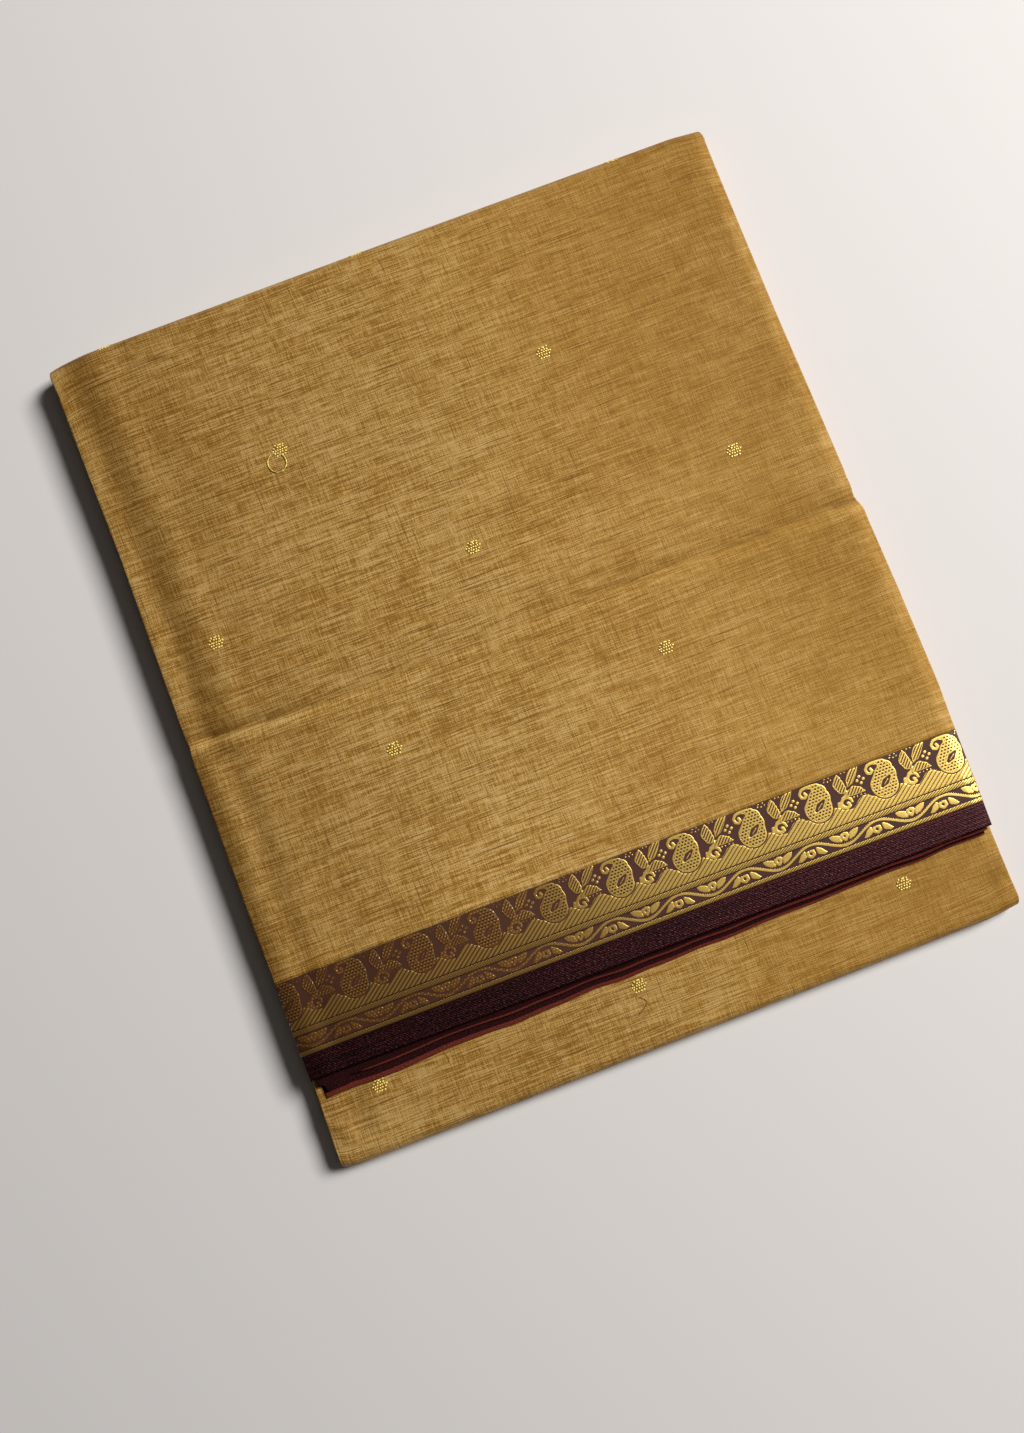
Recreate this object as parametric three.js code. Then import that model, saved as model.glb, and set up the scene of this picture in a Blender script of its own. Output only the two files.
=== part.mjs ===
import * as THREE from "three";

// A long woven saree, halved along its length into a narrow bundle and then folded over in three across
// its width: a back leaf on the ground, a lower leaf that comes up round the bottom fold, and a top leaf
// that comes over the top fold and stops short, so that its border and selvage lie across the lower leaf.
// Frame, in millimetres: +X along the border, +Y towards the top fold, +Z up, origin under the middle.

// Driving dimensions
const bundleWidth = 350;
const bundleLength = 424.8;
const topHeight = 16; // three leaves
const stripHeight = 11; // two leaves, where the lower leaf shows
const wall = 1;
const gap = 0.3;
const sideRoll = 2.5; // radius of a leaf's pressed side edge
const rollTurn = 100; // degrees that a side edge turns over
const tuck = 6; // how far a leaf runs on under the bundle past its fold
const borderTop = -117.3;
const borderWidth = 36.7;
const stripeWidth = 12.3;
const selvageDroop = 0.6; // the cut edges sink towards the lower leaf
const creaseY = 3.7; // the bundle was once halved here
const creaseDepth = 0.3;
const creaseSpread = 4;
const foldSteps = 9;
const middlePlaces = [-168, -157, -143, -100, -50, 0, 50, 100, 145];

const topRadius = topHeight / 2;
const bottomRadius = stripHeight / 2;
const topFoldY = bundleLength / 2 - topRadius;
const bottomFoldY = -bundleLength / 2 + bottomRadius;
const borderBottom = borderTop - borderWidth;
const selvageEdge = borderBottom - stripeWidth;
const droopStart = borderBottom + 6;
const lowerLeafTop = selvageEdge + 9;

// The side edges of the bundle from bottom to top: they lean, and step sideways at the crease.
const sideTable = [
  { y: -212.4, left: -173.6, right: 178.0 },
  { y: -170.0, left: -173.0, right: 177.6 },
  { y: -118.0, left: -173.3, right: 178.2 },
  { y: -93.0, left: -173.9, right: 179.0 },
  { y: -43.0, left: -174.5, right: 178.2 },
  { y: -2.0, left: -174.9, right: 177.0 },
  { y: 8.0, left: -174.7, right: 175.4 },
  { y: 57.0, left: -175.0, right: 174.3 },
  { y: 107.0, left: -175.2, right: 172.9 },
  { y: 157.0, left: -176.6, right: 172.2 },
  { y: 199.0, left: -177.5, right: 172.0 },
  { y: 212.4, left: -178.8, right: 172.0 },
];

// How far the two folded ends draw back from the full length, from left to right.
const endTable = [
  { x: -178.8, top: 4.5, bottom: 5.5 },
  { x: -170.0, top: 2.0, bottom: 0.8 },
  { x: -155.0, top: 0.4, bottom: 0.0 },
  { x: 0.0, top: 0.0, bottom: 1.2 },
  { x: 160.0, top: 0.2, bottom: 3.0 },
  { x: 178.8, top: 2.0, bottom: 5.5 },
];

// The top ply rises and dips beside its left edge.
const reliefTable = [
  { x: -175, lift: 0 },
  { x: -168, lift: 0.3 },
  { x: -157, lift: -0.5 },
  { x: -143, lift: 0.1 },
  { x: 175, lift: 0 },
];

// Cut edges of the inner plies that fan out below the top one: how far past it at each end, and how deep.
const fanTable = [
  { name: "under_selvage_upper", depth: wall + gap, left: 3.0, right: 1.6, setIn: 2.6 },
  { name: "under_selvage_lower", depth: 2 * (wall + gap), left: 10.6, right: 3.4, setIn: 4.0 },
];

const mix = (a, b, t) => a + (b - a) * t;
const radians = THREE.MathUtils.degToRad;
const smooth = THREE.MathUtils.smoothstep;

function lookUp(table, key, value, column) {
  const next = table.findIndex((row) => row[key] >= value);
  if (next === 0) return table[0][column];
  if (next < 0) return table[table.length - 1][column];
  const [low, high] = [table[next - 1], table[next]];
  return mix(low[column], high[column], (value - low[key]) / (high[key] - low[key]));
}

// Moves a point of the even bundle to where it lies in the real, uneven one.
function settle(x, y, z) {
  const left = lookUp(sideTable, "y", y, "left");
  const right = lookUp(sideTable, "y", y, "right");
  const across = (x + bundleWidth / 2) / bundleWidth;
  const drawTop = lookUp(endTable, "x", x, "top") * smooth(y, 120, 190);
  const drawBottom = lookUp(endTable, "x", x, "bottom") * smooth(-y, 175, 200);
  return new THREE.Vector3(mix(left, right, across), y - drawTop + drawBottom, z);
}

function topRelief(x, y) {
  const crease = creaseDepth * Math.exp(-(((y - creaseY) / creaseSpread) ** 2));
  const droop = selvageDroop * smooth(-y, -droopStart, -selvageEdge);
  return lookUp(reliefTable, "x", x, "lift") * smooth(200 - y, 0, 25) - crease - droop;
}

// Stations down a leaf, with the outward direction at each: a flat run, and the turn of a fold.
function flatRun(from, to, steps, z, up = 1) {
  const stations = [];
  for (let i = 0; i <= steps; i += 1) {
    stations.push({ y: mix(from, to, i / steps), z, normalY: 0, normalZ: up });
  }
  return stations;
}

function foldRun(centreY, radius, direction) {
  const stations = [];
  for (let i = 1; i < foldSteps; i += 1) {
    const angle = (Math.PI * i) / foldSteps;
    const normalY = direction * Math.sin(angle);
    const normalZ = Math.cos(angle);
    stations.push({ y: centreY + radius * normalY, z: radius * (1 + normalZ), normalY, normalZ });
  }
  return stations;
}

// Columns across a leaf from its left edge to its right one. Each has an outer and an inner point, given as
// the place across the bundle and the depth under the outer surface.
function acrossColumns(depth, setIn) {
  const half = bundleWidth / 2 - setIn;
  const rollSteps = 4;
  const roll = [];
  for (let i = rollSteps; i >= 0; i -= 1) {
    const angle = radians((rollTurn * i) / rollSteps);
    const at = (radius) => ({
      x: half - sideRoll + radius * Math.sin(angle),
      depth: depth + sideRoll - radius * Math.cos(angle),
    });
    roll.push({ outer: at(sideRoll), inner: at(sideRoll - wall) });
  }
  const flip = ({ outer, inner }) => ({ outer: { ...outer, x: -outer.x }, inner: { ...inner, x: -inner.x } });
  const middle = middlePlaces.map((x) => ({
    outer: { x, depth },
    inner: { x, depth: depth + wall },
  }));
  return [...roll.map(flip), ...middle, ...roll.reverse()];
}

function flatColumns(depth, setIn) {
  const half = bundleWidth / 2 - setIn;
  return [-half, ...middlePlaces, half].map((x) => ({
    outer: { x, depth },
    inner: { x, depth: depth + wall },
  }));
}

// A closed wall over stations and columns: its outer face, its inner face, and the four edges between them.
function clothWall(stations, columns, relief = () => 0, shift = () => 0) {
  const positions = [];
  const index = [];
  const rows = stations.length;
  const cols = columns.length;
  for (const face of ["outer", "inner"]) {
    for (const station of stations) {
      for (const column of columns) {
        const { x, depth } = column[face];
        const sink = depth - relief(x, station.y) * Math.max(station.normalZ, 0);
        const y = station.y - station.normalY * sink + shift(x, station);
        positions.push(...settle(x, y, station.z - station.normalZ * sink).toArray());
      }
    }
  }
  const outer = (row, col) => row * cols + col;
  const inner = (row, col) => rows * cols + outer(row, col);
  const quad = (a, b, c, d) => index.push(a, b, c, a, c, d);
  for (let row = 0; row + 1 < rows; row += 1) {
    for (let col = 0; col + 1 < cols; col += 1) {
      quad(outer(row, col), outer(row + 1, col), outer(row + 1, col + 1), outer(row, col + 1));
      quad(inner(row, col), inner(row, col + 1), inner(row + 1, col + 1), inner(row + 1, col));
    }
    const last = cols - 1;
    quad(outer(row, 0), inner(row, 0), inner(row + 1, 0), outer(row + 1, 0));
    quad(outer(row, last), outer(row + 1, last), inner(row + 1, last), inner(row, last));
  }
  for (let col = 0; col + 1 < cols; col += 1) {
    const last = rows - 1;
    quad(outer(0, col), outer(0, col + 1), inner(0, col + 1), inner(0, col));
    quad(outer(last, col), inner(last, col), inner(last, col + 1), outer(last, col + 1));
  }
  return closedGeometry(positions, index);
}

function closedGeometry(positions, index) {
  const geometry = new THREE.BufferGeometry();
  geometry.setAttribute("position", new THREE.Float32BufferAttribute(positions, 3));
  geometry.setIndex(index);
  geometry.computeVertexNormals();
  return geometry;
}

// Stations run from the top of the bundle to the bottom, so that every outer face looks out.
function topLeaf() {
  const turn = foldRun(topFoldY, topRadius, 1).reverse();
  const flat = [
    ...flatRun(topFoldY, creaseY + 12, 8, topHeight),
    ...flatRun(creaseY + 4, creaseY - 4, 2, topHeight),
    ...flatRun(creaseY - 12, borderTop + gap / 2, 5, topHeight),
  ];
  const under = flatRun(topFoldY - tuck, topFoldY, 1, 0, -1);
  return clothWall([...under, ...turn, ...flat], acrossColumns(0, 0), topRelief);
}

function topBand(from, to, steps) {
  return clothWall(flatRun(from, to, steps, topHeight), acrossColumns(0, 0), topRelief);
}

function underSelvage({ depth, left, right, setIn }) {
  const hiddenEnd = borderBottom + 4;
  const stations = flatRun(hiddenEnd, selvageEdge, 4, topHeight);
  const fan = (x, { y }) => {
    const reach = mix(left, right, (x + bundleWidth / 2) / bundleWidth);
    return (-reach * (hiddenEnd - y)) / (hiddenEnd - selvageEdge);
  };
  return clothWall(stations, flatColumns(depth, setIn), topRelief, fan);
}

function lowerLeaf() {
  const flat = flatRun(lowerLeafTop, bottomFoldY, 4, stripHeight);
  const turn = foldRun(bottomFoldY, bottomRadius, -1);
  const under = flatRun(bottomFoldY, bottomFoldY + tuck, 1, 0, -1);
  return clothWall([...flat, ...turn, ...under], acrossColumns(0, 0));
}

function backLeaf() {
  const stations = flatRun(bottomFoldY + tuck + gap, topFoldY - tuck - gap, 10, 0, -1);
  return clothWall(stations, acrossColumns(0, 0));
}

// The plies between the outer ones, as one body whose sides show the edges of the folded layers.
const sidePlies = {
  left: [0.12, 0.2, 0.32, 0.42, 0.5, 0.62, 0.72, 0.82, 1],
  right: [0.33, 0.67, 1],
};
const layerGroove = 0.7;
const hideIn = sideRoll - wall + gap + 0.3; // how far it stays in under a rolled edge
const rollDepth = sideRoll * (1 - Math.cos(radians(rollTurn))) + gap + 0.1;

// One side of a cross-section of the inner plies. Proud sides show the folded layers, set in above and below
// under the rolled edges. At the folds the section is a plain slab with eased corners.
function sideEdge(side, low, high, proud) {
  const shoulder = 0.8;
  const setInAt = (z) => ({ z, inset: hideIn });
  const layers = [];
  const [from, to] = [rollDepth, high - rollDepth + wall + gap];
  let start = 0;
  for (const end of sidePlies[side]) {
    layers.push({ z: mix(from, to, start), inset: proud?.[side] + proud?.groove });
    layers.push({ z: mix(from, to, mix(start, end, 0.25)), inset: proud?.[side] });
    layers.push({ z: mix(from, to, mix(start, end, 0.75)), inset: proud?.[side] });
    start = end;
  }
  const share = (i) => (i + 2) / (layers.length + 3);
  const plain = layers.map((_, i) => setInAt(mix(low + shoulder, high - shoulder, share(i))));
  return [
    { z: low, inset: hideIn + 1.5 },
    setInAt(low + shoulder * (proud ? 1 : 0.5)),
    setInAt(proud ? from - 0.2 : low + shoulder * 0.75),
    ...(proud ? layers : plain),
    setInAt(proud ? to + 0.2 : high - shoulder * 0.75),
    setInAt(high - shoulder * (proud ? 1 : 0.5)),
    { z: high, inset: hideIn + 1.5 },
  ];
}

function innerRing(y, low, high, proud) {
  const place = (sign) => ({ z, inset }) => settle(sign * (bundleWidth / 2 - inset), y, z);
  return [
    ...sideEdge("right", low, high, proud).map(place(1)),
    ...sideEdge("left", low, high, proud).reverse().map(place(-1)),
  ];
}

function innerPlies() {
  const clear = wall + gap;
  const high = topHeight - clear - 0.8;
  const lowStrip = stripHeight - clear;
  const proud = { left: -1.2, right: 0.5, groove: layerGroove };
  const flush = { left: hideIn, right: hideIn, groove: 0 };
  const rings = [];
  const endRings = (centreY, radius, direction) =>
    [75, 50, 25].map((degrees) => {
      const core = radius - clear - 0.1;
      const half = core * Math.cos(radians(degrees));
      const y = centreY + direction * core * Math.sin(radians(degrees));
      return innerRing(y, radius - half, radius + half, null);
    });
  rings.push(...endRings(topFoldY, topRadius, 1));
  const upper = [
    { y: topFoldY - 2, high, proud: flush },
    { y: topFoldY - 2.5, high, proud },
    { y: 140, high, proud },
    { y: 80, high, proud },
    { y: creaseY, high, proud },
    { y: -60, high, proud },
    { y: borderTop, high, proud },
    { y: droopStart, high, proud },
    { y: droopStart - 0.5, high: high - 2.8, proud },
    { y: lowerLeafTop + gap + 0.1, high: high - 3, proud },
    { y: lowerLeafTop + gap, high: lowStrip, proud },
    { y: bottomFoldY + 2.5, high: lowStrip, proud },
    { y: bottomFoldY + 2, high: lowStrip, proud: flush },
  ];
  rings.push(...upper.map((row) => innerRing(row.y, clear, row.high, row.proud)));
  rings.push(...endRings(bottomFoldY, bottomRadius, -1).reverse());
  const count = rings[0].length;
  const positions = rings.flat().flatMap((point) => point.toArray());
  const index = [];
  rings.slice(1).forEach((_, ring) => {
    for (let i = 0; i < count; i += 1) {
      const [a, b] = [ring * count + i, ring * count + ((i + 1) % count)];
      index.push(a, b + count, a + count, a, b, b + count);
    }
  });
  for (const [ring, forward] of [[0, true], [rings.length - 1, false]]) {
    const middle = positions.length / 3;
    const centre = rings[ring].reduce((sum, p) => sum.add(p), new THREE.Vector3()).divideScalar(count);
    positions.push(...centre.toArray());
    for (let i = 0; i < count; i += 1) {
      const [a, b] = [ring * count + i, ring * count + ((i + 1) % count)];
      index.push(...(forward ? [middle, b, a] : [middle, a, b]));
    }
  }
  return closedGeometry(positions, index);
}

const finishes = {
  cloth: { color: 0xa58046, roughness: 0.55, metalness: 0 },
  zari: { color: 0xb98f3a, roughness: 0.4, metalness: 0.3 },
  stripe: { color: 0x2a1416, roughness: 0.6, metalness: 0 },
  selvage: { color: 0x5e2420, roughness: 0.6, metalness: 0 },
};

const saree = new THREE.Group();

function add(name, geometry, finish) {
  const mesh = new THREE.Mesh(geometry, new THREE.MeshStandardMaterial(finishes[finish]));
  mesh.name = name;
  saree.add(mesh);
}

add("top_leaf", topLeaf(), "cloth");
add("top_border", topBand(borderTop - gap / 2, borderBottom + gap / 2, 4), "zari");
add("top_selvage", topBand(borderBottom - gap / 2, selvageEdge, 3), "stripe");
for (const row of fanTable) add(row.name, underSelvage(row), "selvage");
add("lower_leaf", lowerLeaf(), "cloth");
add("back_leaf", backLeaf(), "cloth");
add("inner_plies", innerPlies(), "cloth");

export default saree;
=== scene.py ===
import math

import bmesh
import bpy
import numpy as np
from mathutils import Matrix, Vector


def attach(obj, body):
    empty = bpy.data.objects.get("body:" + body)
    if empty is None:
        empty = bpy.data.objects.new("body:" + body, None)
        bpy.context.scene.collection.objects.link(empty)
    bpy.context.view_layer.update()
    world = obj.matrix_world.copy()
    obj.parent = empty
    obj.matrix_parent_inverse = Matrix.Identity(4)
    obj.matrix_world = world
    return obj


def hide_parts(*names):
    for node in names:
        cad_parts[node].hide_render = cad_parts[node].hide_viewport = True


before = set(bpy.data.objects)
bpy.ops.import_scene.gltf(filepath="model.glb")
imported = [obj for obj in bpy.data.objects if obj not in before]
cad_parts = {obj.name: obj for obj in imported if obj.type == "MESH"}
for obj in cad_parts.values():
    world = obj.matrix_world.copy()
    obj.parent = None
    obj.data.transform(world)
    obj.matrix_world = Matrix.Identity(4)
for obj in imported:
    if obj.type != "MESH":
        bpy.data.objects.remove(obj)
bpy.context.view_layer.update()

mm = 0.001
# A point of the cloth is (u, v, h): u along the saree from the middle of the bundle, v across it from the
# top leaf's cut edge, h out of its good side. All lengths are in metres.

bundle = {
    "width": 0.350,
    "topHeight": 0.016,
    "stripHeight": 0.011,
    "length": 0.4248,
    "clothWidth": 1.2,
    "selvageY": -0.1663,
    "thickness": 0.0004,
    "foldsLeft": 4,  # folds that show in the side of one leaf
    "foldsRight": 3,
    "reachLeft": 0.0040,  # cloth past the side's line, round the fold and back inside
    "reachRight": 0.0047,
}

sideTable = [  # the uneven sides of the bundle, from the photo's outline: y, left, right
    (-0.2124, -0.1736, 0.1780),
    (-0.1700, -0.1730, 0.1776),
    (-0.1180, -0.1733, 0.1782),
    (-0.0930, -0.1739, 0.1790),
    (-0.0430, -0.1745, 0.1782),
    (-0.0020, -0.1749, 0.1770),
    (0.0080, -0.1747, 0.1754),
    (0.0570, -0.1750, 0.1743),
    (0.1070, -0.1752, 0.1729),
    (0.1570, -0.1766, 0.1722),
    (0.1990, -0.1775, 0.1720),
    (0.2124, -0.1788, 0.1720),
]
endTable = [  # how far the two folded ends draw back, from left to right
    (-0.1788, 0.0045, 0.0024),
    (-0.1700, 0.0020, 0.0001),
    (-0.1550, 0.0004, 0.0000),
    (0.0000, 0.0000, 0.0012),
    (0.1600, 0.0002, 0.0030),
    (0.1788, 0.0020, 0.0055),
]
edgeRelief = [  # rise of the top ply beside its left edge: distance from it, above the crease, below it
    (0.000, -0.00020, -0.00070),
    (0.003, 0.00030, -0.00035),
    (0.005, 0.00025, -0.00005),
    (0.008, -0.00025, 0.00022),
    (0.011, -0.00075, 0.00028),
    (0.014, -0.00085, 0.00005),
    (0.018, -0.00060, -0.00018),
    (0.022, -0.00025, -0.00016),
    (0.027, 0.00010, 0.00008),
    (0.032, 0.00020, 0.00012),
    (0.038, 0.00004, 0.00005),
    (0.046, -0.00004, 0.00000),
    (0.060, 0.00000, 0.00000),
]
# Shares of the cloth's brightness. These two tables rest on brightness averages measured on the photo,
# adjusted against renders.
# Both tables are painted shade and highlight, multiplied into the colour of the cloth and the band.
edgeShade = [  # beside that edge, in the same columns
    (0.000, 1.00, 0.45),
    (0.003, 1.06, 0.52),
    (0.007, 0.82, 0.76),
    (0.010, 0.60, 0.98),
    (0.013, 0.54, 0.94),
    (0.017, 0.60, 0.72),
    (0.022, 0.72, 0.66),
    (0.0250, 0.85, 0.94),
    (0.0275, 0.91, 0.86),
    (0.032, 0.98, 0.93),
    (0.037, 0.80, 0.88),
    (0.045, 0.84, 0.83),
    (0.060, 0.91, 0.90),
    (0.080, 0.97, 0.96),
    (0.110, 1.00, 1.00),
]
rightShade = [  # beside the right edge: distance from it, share
    (0.000, 0.98),
    (0.0045, 0.98),
    (0.0070, 0.86),
    (0.020, 0.82),
    (0.050, 0.86),
    (0.090, 0.94),
    (0.140, 1.00),
]

topRadius = bundle["topHeight"] / 2
bottomRadius = bundle["stripHeight"] / 2
topFoldY = bundle["length"] / 2 - topRadius
bottomFoldY = -bundle["length"] / 2 + bottomRadius
vTopFold = topFoldY - bundle["selvageY"]
vBack = vTopFold + math.pi * topRadius
vBottomFold = vBack + topFoldY - bottomFoldY
vLower = vBottomFold + math.pi * bottomRadius
creaseY = 0.0037
stackTable = [  # thickness of one folded leaf along v
    (0.0000, 0.0050),
    (vTopFold - 0.037, 0.0050),
    (vTopFold - 0.030, 0.0073),
    (vTopFold - 0.006, 0.0078),
    (vBack + 0.006, 0.0078),
    (vBack + 0.030, 0.0073),
    (vBack + 0.037, 0.0053),
    (vLower, 0.0053),
]


def lookUp(table, at, column):
    rows = np.array(table)
    return np.interp(at, rows[:, 0], rows[:, column])


def eased(table, at, column, reach):
    steps = np.linspace(-reach, reach, 7)
    return sum(lookUp(table, at + step, column) for step in steps) / len(steps)


def besideEdge(table, inFromLeft, low, reach):
    return eased(table, inFromLeft, 1, reach) * (1 - low) + eased(table, inFromLeft, 2, reach) * low


def smooth(value, low, high):
    t = np.clip((value - low) / (high - low), 0, 1)
    return t * t * (3 - 2 * t)


def bump(value, centre, spread):
    return np.exp(-(((value - centre) / spread) ** 2))


def ripples(x, y, length, stretch, seed, count=7):
    draw = np.random.default_rng(seed)
    total = 0
    for _ in range(count):
        turn, phase, size = draw.uniform(0, 2 * math.pi, 3)
        step = 2 * math.pi / (length * (0.7 + size / math.pi / 2 * 0.9))
        total = total + np.sin(x * step * math.cos(turn) / stretch + y * step * math.sin(turn) + phase)
    return total / math.sqrt(count)


def alongFold(v):
    top = v < vTopFold
    turnTop = (v >= vTopFold) & (v < vBack)
    back = (v >= vBack) & (v < vBottomFold)
    turnBottom = (v >= vBottomFold) & (v < vLower)
    angle = np.where(turnTop, (v - vTopFold) / topRadius, 0)
    angle = np.where(back, math.pi, angle)
    angle = np.where(turnBottom, math.pi + (v - vBottomFold) / bottomRadius, angle)
    normalY, normalZ = np.sin(angle), np.cos(angle)
    y = np.select(
        [top, turnTop, back, turnBottom],
        [
            bundle["selvageY"] + v,
            topFoldY + topRadius * normalY,
            topFoldY - (v - vBack),
            bottomFoldY + bottomRadius * normalY,
        ],
        bottomFoldY + (v - vLower),
    )
    z = np.select(
        [top, turnTop, back, turnBottom],
        [
            np.full_like(v, bundle["topHeight"]),
            topRadius * (1 + normalZ),
            np.zeros_like(v),
            bottomRadius * (1 + normalZ),
        ],
        bundle["stripHeight"],
    )
    return y, z, normalY, normalZ


def settle(x, y):
    left = eased(sideTable, y, 1, 0.004)
    right = eased(sideTable, y, 2, 0.004)
    right = right - 0.0008 * bump(y, creaseY + 0.0035, 0.003) + 0.0004 * bump(y, creaseY - 0.004, 0.003)
    left = left + 0.0006 * bump(y, creaseY + 0.001, 0.003)
    across = (x + bundle["width"] / 2) / bundle["width"]
    drawTop = eased(endTable, x, 1, 0.003) * smooth(y, 0.12, 0.19)
    drawBottom = eased(endTable, x, 2, 0.003) * smooth(-y, 0.175, 0.2)
    return left + (right - left) * across, y - drawTop + drawBottom


creaseTable = [  # the fold line across the top: x, y, and how strongly it is pressed
    (-0.175, 0.0075, 0.9),
    (-0.160, 0.0062, 1.0),
    (-0.132, 0.0034, 1.0),
    (-0.110, 0.0034, 0.8),
    (-0.080, 0.0038, 0.5),
    (-0.049, 0.0040, 0.35),
    (0.000, 0.0050, 0.3),
    (0.050, 0.0060, 0.38),
    (0.088, 0.0062, 0.6),
    (0.110, 0.0048, 0.75),
    (0.135, 0.0043, 0.85),
    (0.156, 0.0056, 0.95),
    (0.175, 0.0042, 1.0),
]


def creaseLine(x):
    return eased(creaseTable, x, 1, 0.01) + 0.0005 * ripples(x, 0 * x, 0.05, 1, 8)


def belowCrease(y):
    return smooth(-y, -creaseY - 0.004, -creaseY + 0.016)


def topRelief(x, y):
    inFromLeft = x + bundle["width"] / 2
    low = belowCrease(y)
    edge = besideEdge(edgeRelief, inFromLeft, low, 0.0015)
    edge = edge * smooth(y, 0.2, 0.17) * (0.9 + 0.2 * ripples(x, y, 0.11, 3, 4))
    edge = edge - 0.0008 * smooth(inFromLeft, bundle["width"] - 0.0065, bundle["width"])
    away = y - creaseLine(x)
    press = eased(creaseTable, x, 2, 0.008)
    crease = press * (0.0003 * bump(away, -0.005, 0.0045) - 0.0009 * np.exp(-np.abs(away) / 0.0035))
    crease = crease - 0.0006 * bump(y, 0.0175, 0.002) * smooth(x, 0.150, 0.168)
    sag = 0.00016 * ripples(x, y, 0.10, 2.2, 23) + 0.00005 * ripples(x, y, 0.03, 3.0, 31)
    sag = sag * smooth(y, 0.2, 0.16)
    sag = sag * smooth(inFromLeft, 0, 0.02) * smooth(bundle["width"] - inFromLeft, 0, 0.02)
    droop = 0.0006 * smooth(-y, 0.148, 0.1663)
    band = 0.00012 * smooth(-y, 0.1165, 0.1180)
    return edge + crease + sag - droop + band


def lowerRelief(x, y):
    fromCorner = x + y + 0.362
    tuck = 0.0006 * bump(fromCorner, 0, 0.004) * smooth(-x, 0.135, 0.15)
    edge = 0.0007 * bump(x, -0.168, 0.004) - 0.0005 * bump(x, -0.158, 0.005)
    sag = 0.00015 * ripples(x, y, 0.08, 3, 71)
    fade = smooth(y, bottomFoldY, bottomFoldY + 0.008)
    return (tuck + edge + sag - 0.0007 * smooth(x, 0.169, 0.175)) * fade


def layCloth(u, v, h, relief=True, ply=0, inset=0):
    side = np.where(u < 0, -1.0, 1.0)
    half = bundle["width"] / 2
    pitch = lookUp(stackTable, v, 1) / np.where(u < 0, bundle["foldsLeft"], bundle["foldsRight"])
    radius = pitch * 0.48
    arc = np.clip(np.abs(u) - (half - radius), 0, None)
    over = np.minimum(arc / radius, math.pi)
    inward = np.clip(arc - math.pi * radius, 0, None)
    x = side * (half - radius * (1 - np.sin(over)) - inward + h * np.sin(over))
    x = np.where(arc > 0, x, u) - side * inset
    peep = smooth(v, vBack - 0.004, vBack + 0.004) * smooth(vBottomFold - v, 0, 0.03)
    peep = peep * smooth(-u, 0.15, 0.175)  # the back leaf stands out at the left
    x = x - peep * (0.0031 + 0.0005 * ripples(v, 0 * v, 0.13, 1, 51))
    sink = ply * pitch + radius * (1 - np.cos(over)) - h * np.cos(over)
    y, z, normalY, normalZ = alongFold(v)
    if relief:
        sink = sink - topRelief(np.clip(x, -0.175, 0.175), y) * (v < vTopFold)
    sink = sink - lowerRelief(np.clip(x, -0.175, 0.175), y) * (v > vLower)
    y = y - normalY * sink
    z = z - normalZ * sink
    x, y = settle(x, y)
    return np.stack([x, y, np.maximum(z, 0.00002)], 1)


def newPiece(name, bm):
    mesh = bpy.data.meshes.new(name)
    bm.to_mesh(mesh)
    bm.free()
    mesh.shade_smooth()
    piece = bpy.data.objects.new(name, mesh)
    bpy.context.scene.collection.objects.link(piece)
    return piece


def coordinates(piece):
    co = np.empty(len(piece.data.vertices) * 3)
    piece.data.vertices.foreach_get("co", co)
    return co.reshape(-1, 3)


def setCoordinates(piece, co):
    piece.data.vertices.foreach_set("co", np.ascontiguousarray(co, dtype=np.float32).ravel())
    piece.data.update()


def mapWeave(piece, uv):
    corner = np.empty(len(piece.data.loops), dtype=np.int32)
    piece.data.loops.foreach_get("vertex_index", corner)
    layer = piece.data.uv_layers.new(name="weave")
    layer.data.foreach_set("uv", (uv[corner] / mm).astype(np.float32).ravel())


def flatGrid(name, us, vs):
    bm = bmesh.new()
    bmesh.ops.create_grid(bm, x_segments=len(us) - 1, y_segments=len(vs) - 1, size=1)
    piece = newPiece(name, bm)
    co = coordinates(piece)
    u = np.interp((co[:, 0] + 1) / 2 * (len(us) - 1), np.arange(len(us)), us)
    v = np.interp((co[:, 1] + 1) / 2 * (len(vs) - 1), np.arange(len(vs)), vs)
    return piece, u, v


def spread(low, high, step):
    return list(np.linspace(low, high, max(2, int(round((high - low) / step)) + 1)))


def acrossPlaces(step):
    half = bundle["width"] / 2
    places = spread(-half - bundle["reachLeft"], -half + 0.0010, 0.0003)[:-1]
    places += spread(-half + 0.0010, half - 0.0013, step)
    places += spread(half - 0.0013, half + bundle["reachRight"], 0.0004)[1:]
    return places


def thicken(piece, thickness):
    shell = piece.modifiers.new("thickness", "SOLIDIFY")
    shell.thickness = thickness
    shell.offset = -1
    shell.use_even_offset = False


class Sock:
    def __init__(self, finish, socket):
        self.finish = finish
        self.socket = socket

    def maths(self, operation, other=0.0, swap=False):
        pair = (other, self) if swap else (self, other)
        return self.finish.node("ShaderNodeMath", {"operation": operation}, pair)

    def __add__(self, other):
        return self.maths("ADD", other)

    __radd__ = __add__

    def __sub__(self, other):
        return self.maths("SUBTRACT", other)

    def __rsub__(self, other):
        return self.maths("SUBTRACT", other, swap=True)

    def __mul__(self, other):
        return self.maths("MULTIPLY", other)

    __rmul__ = __mul__

    def __truediv__(self, other):
        return self.maths("DIVIDE", other)


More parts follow.
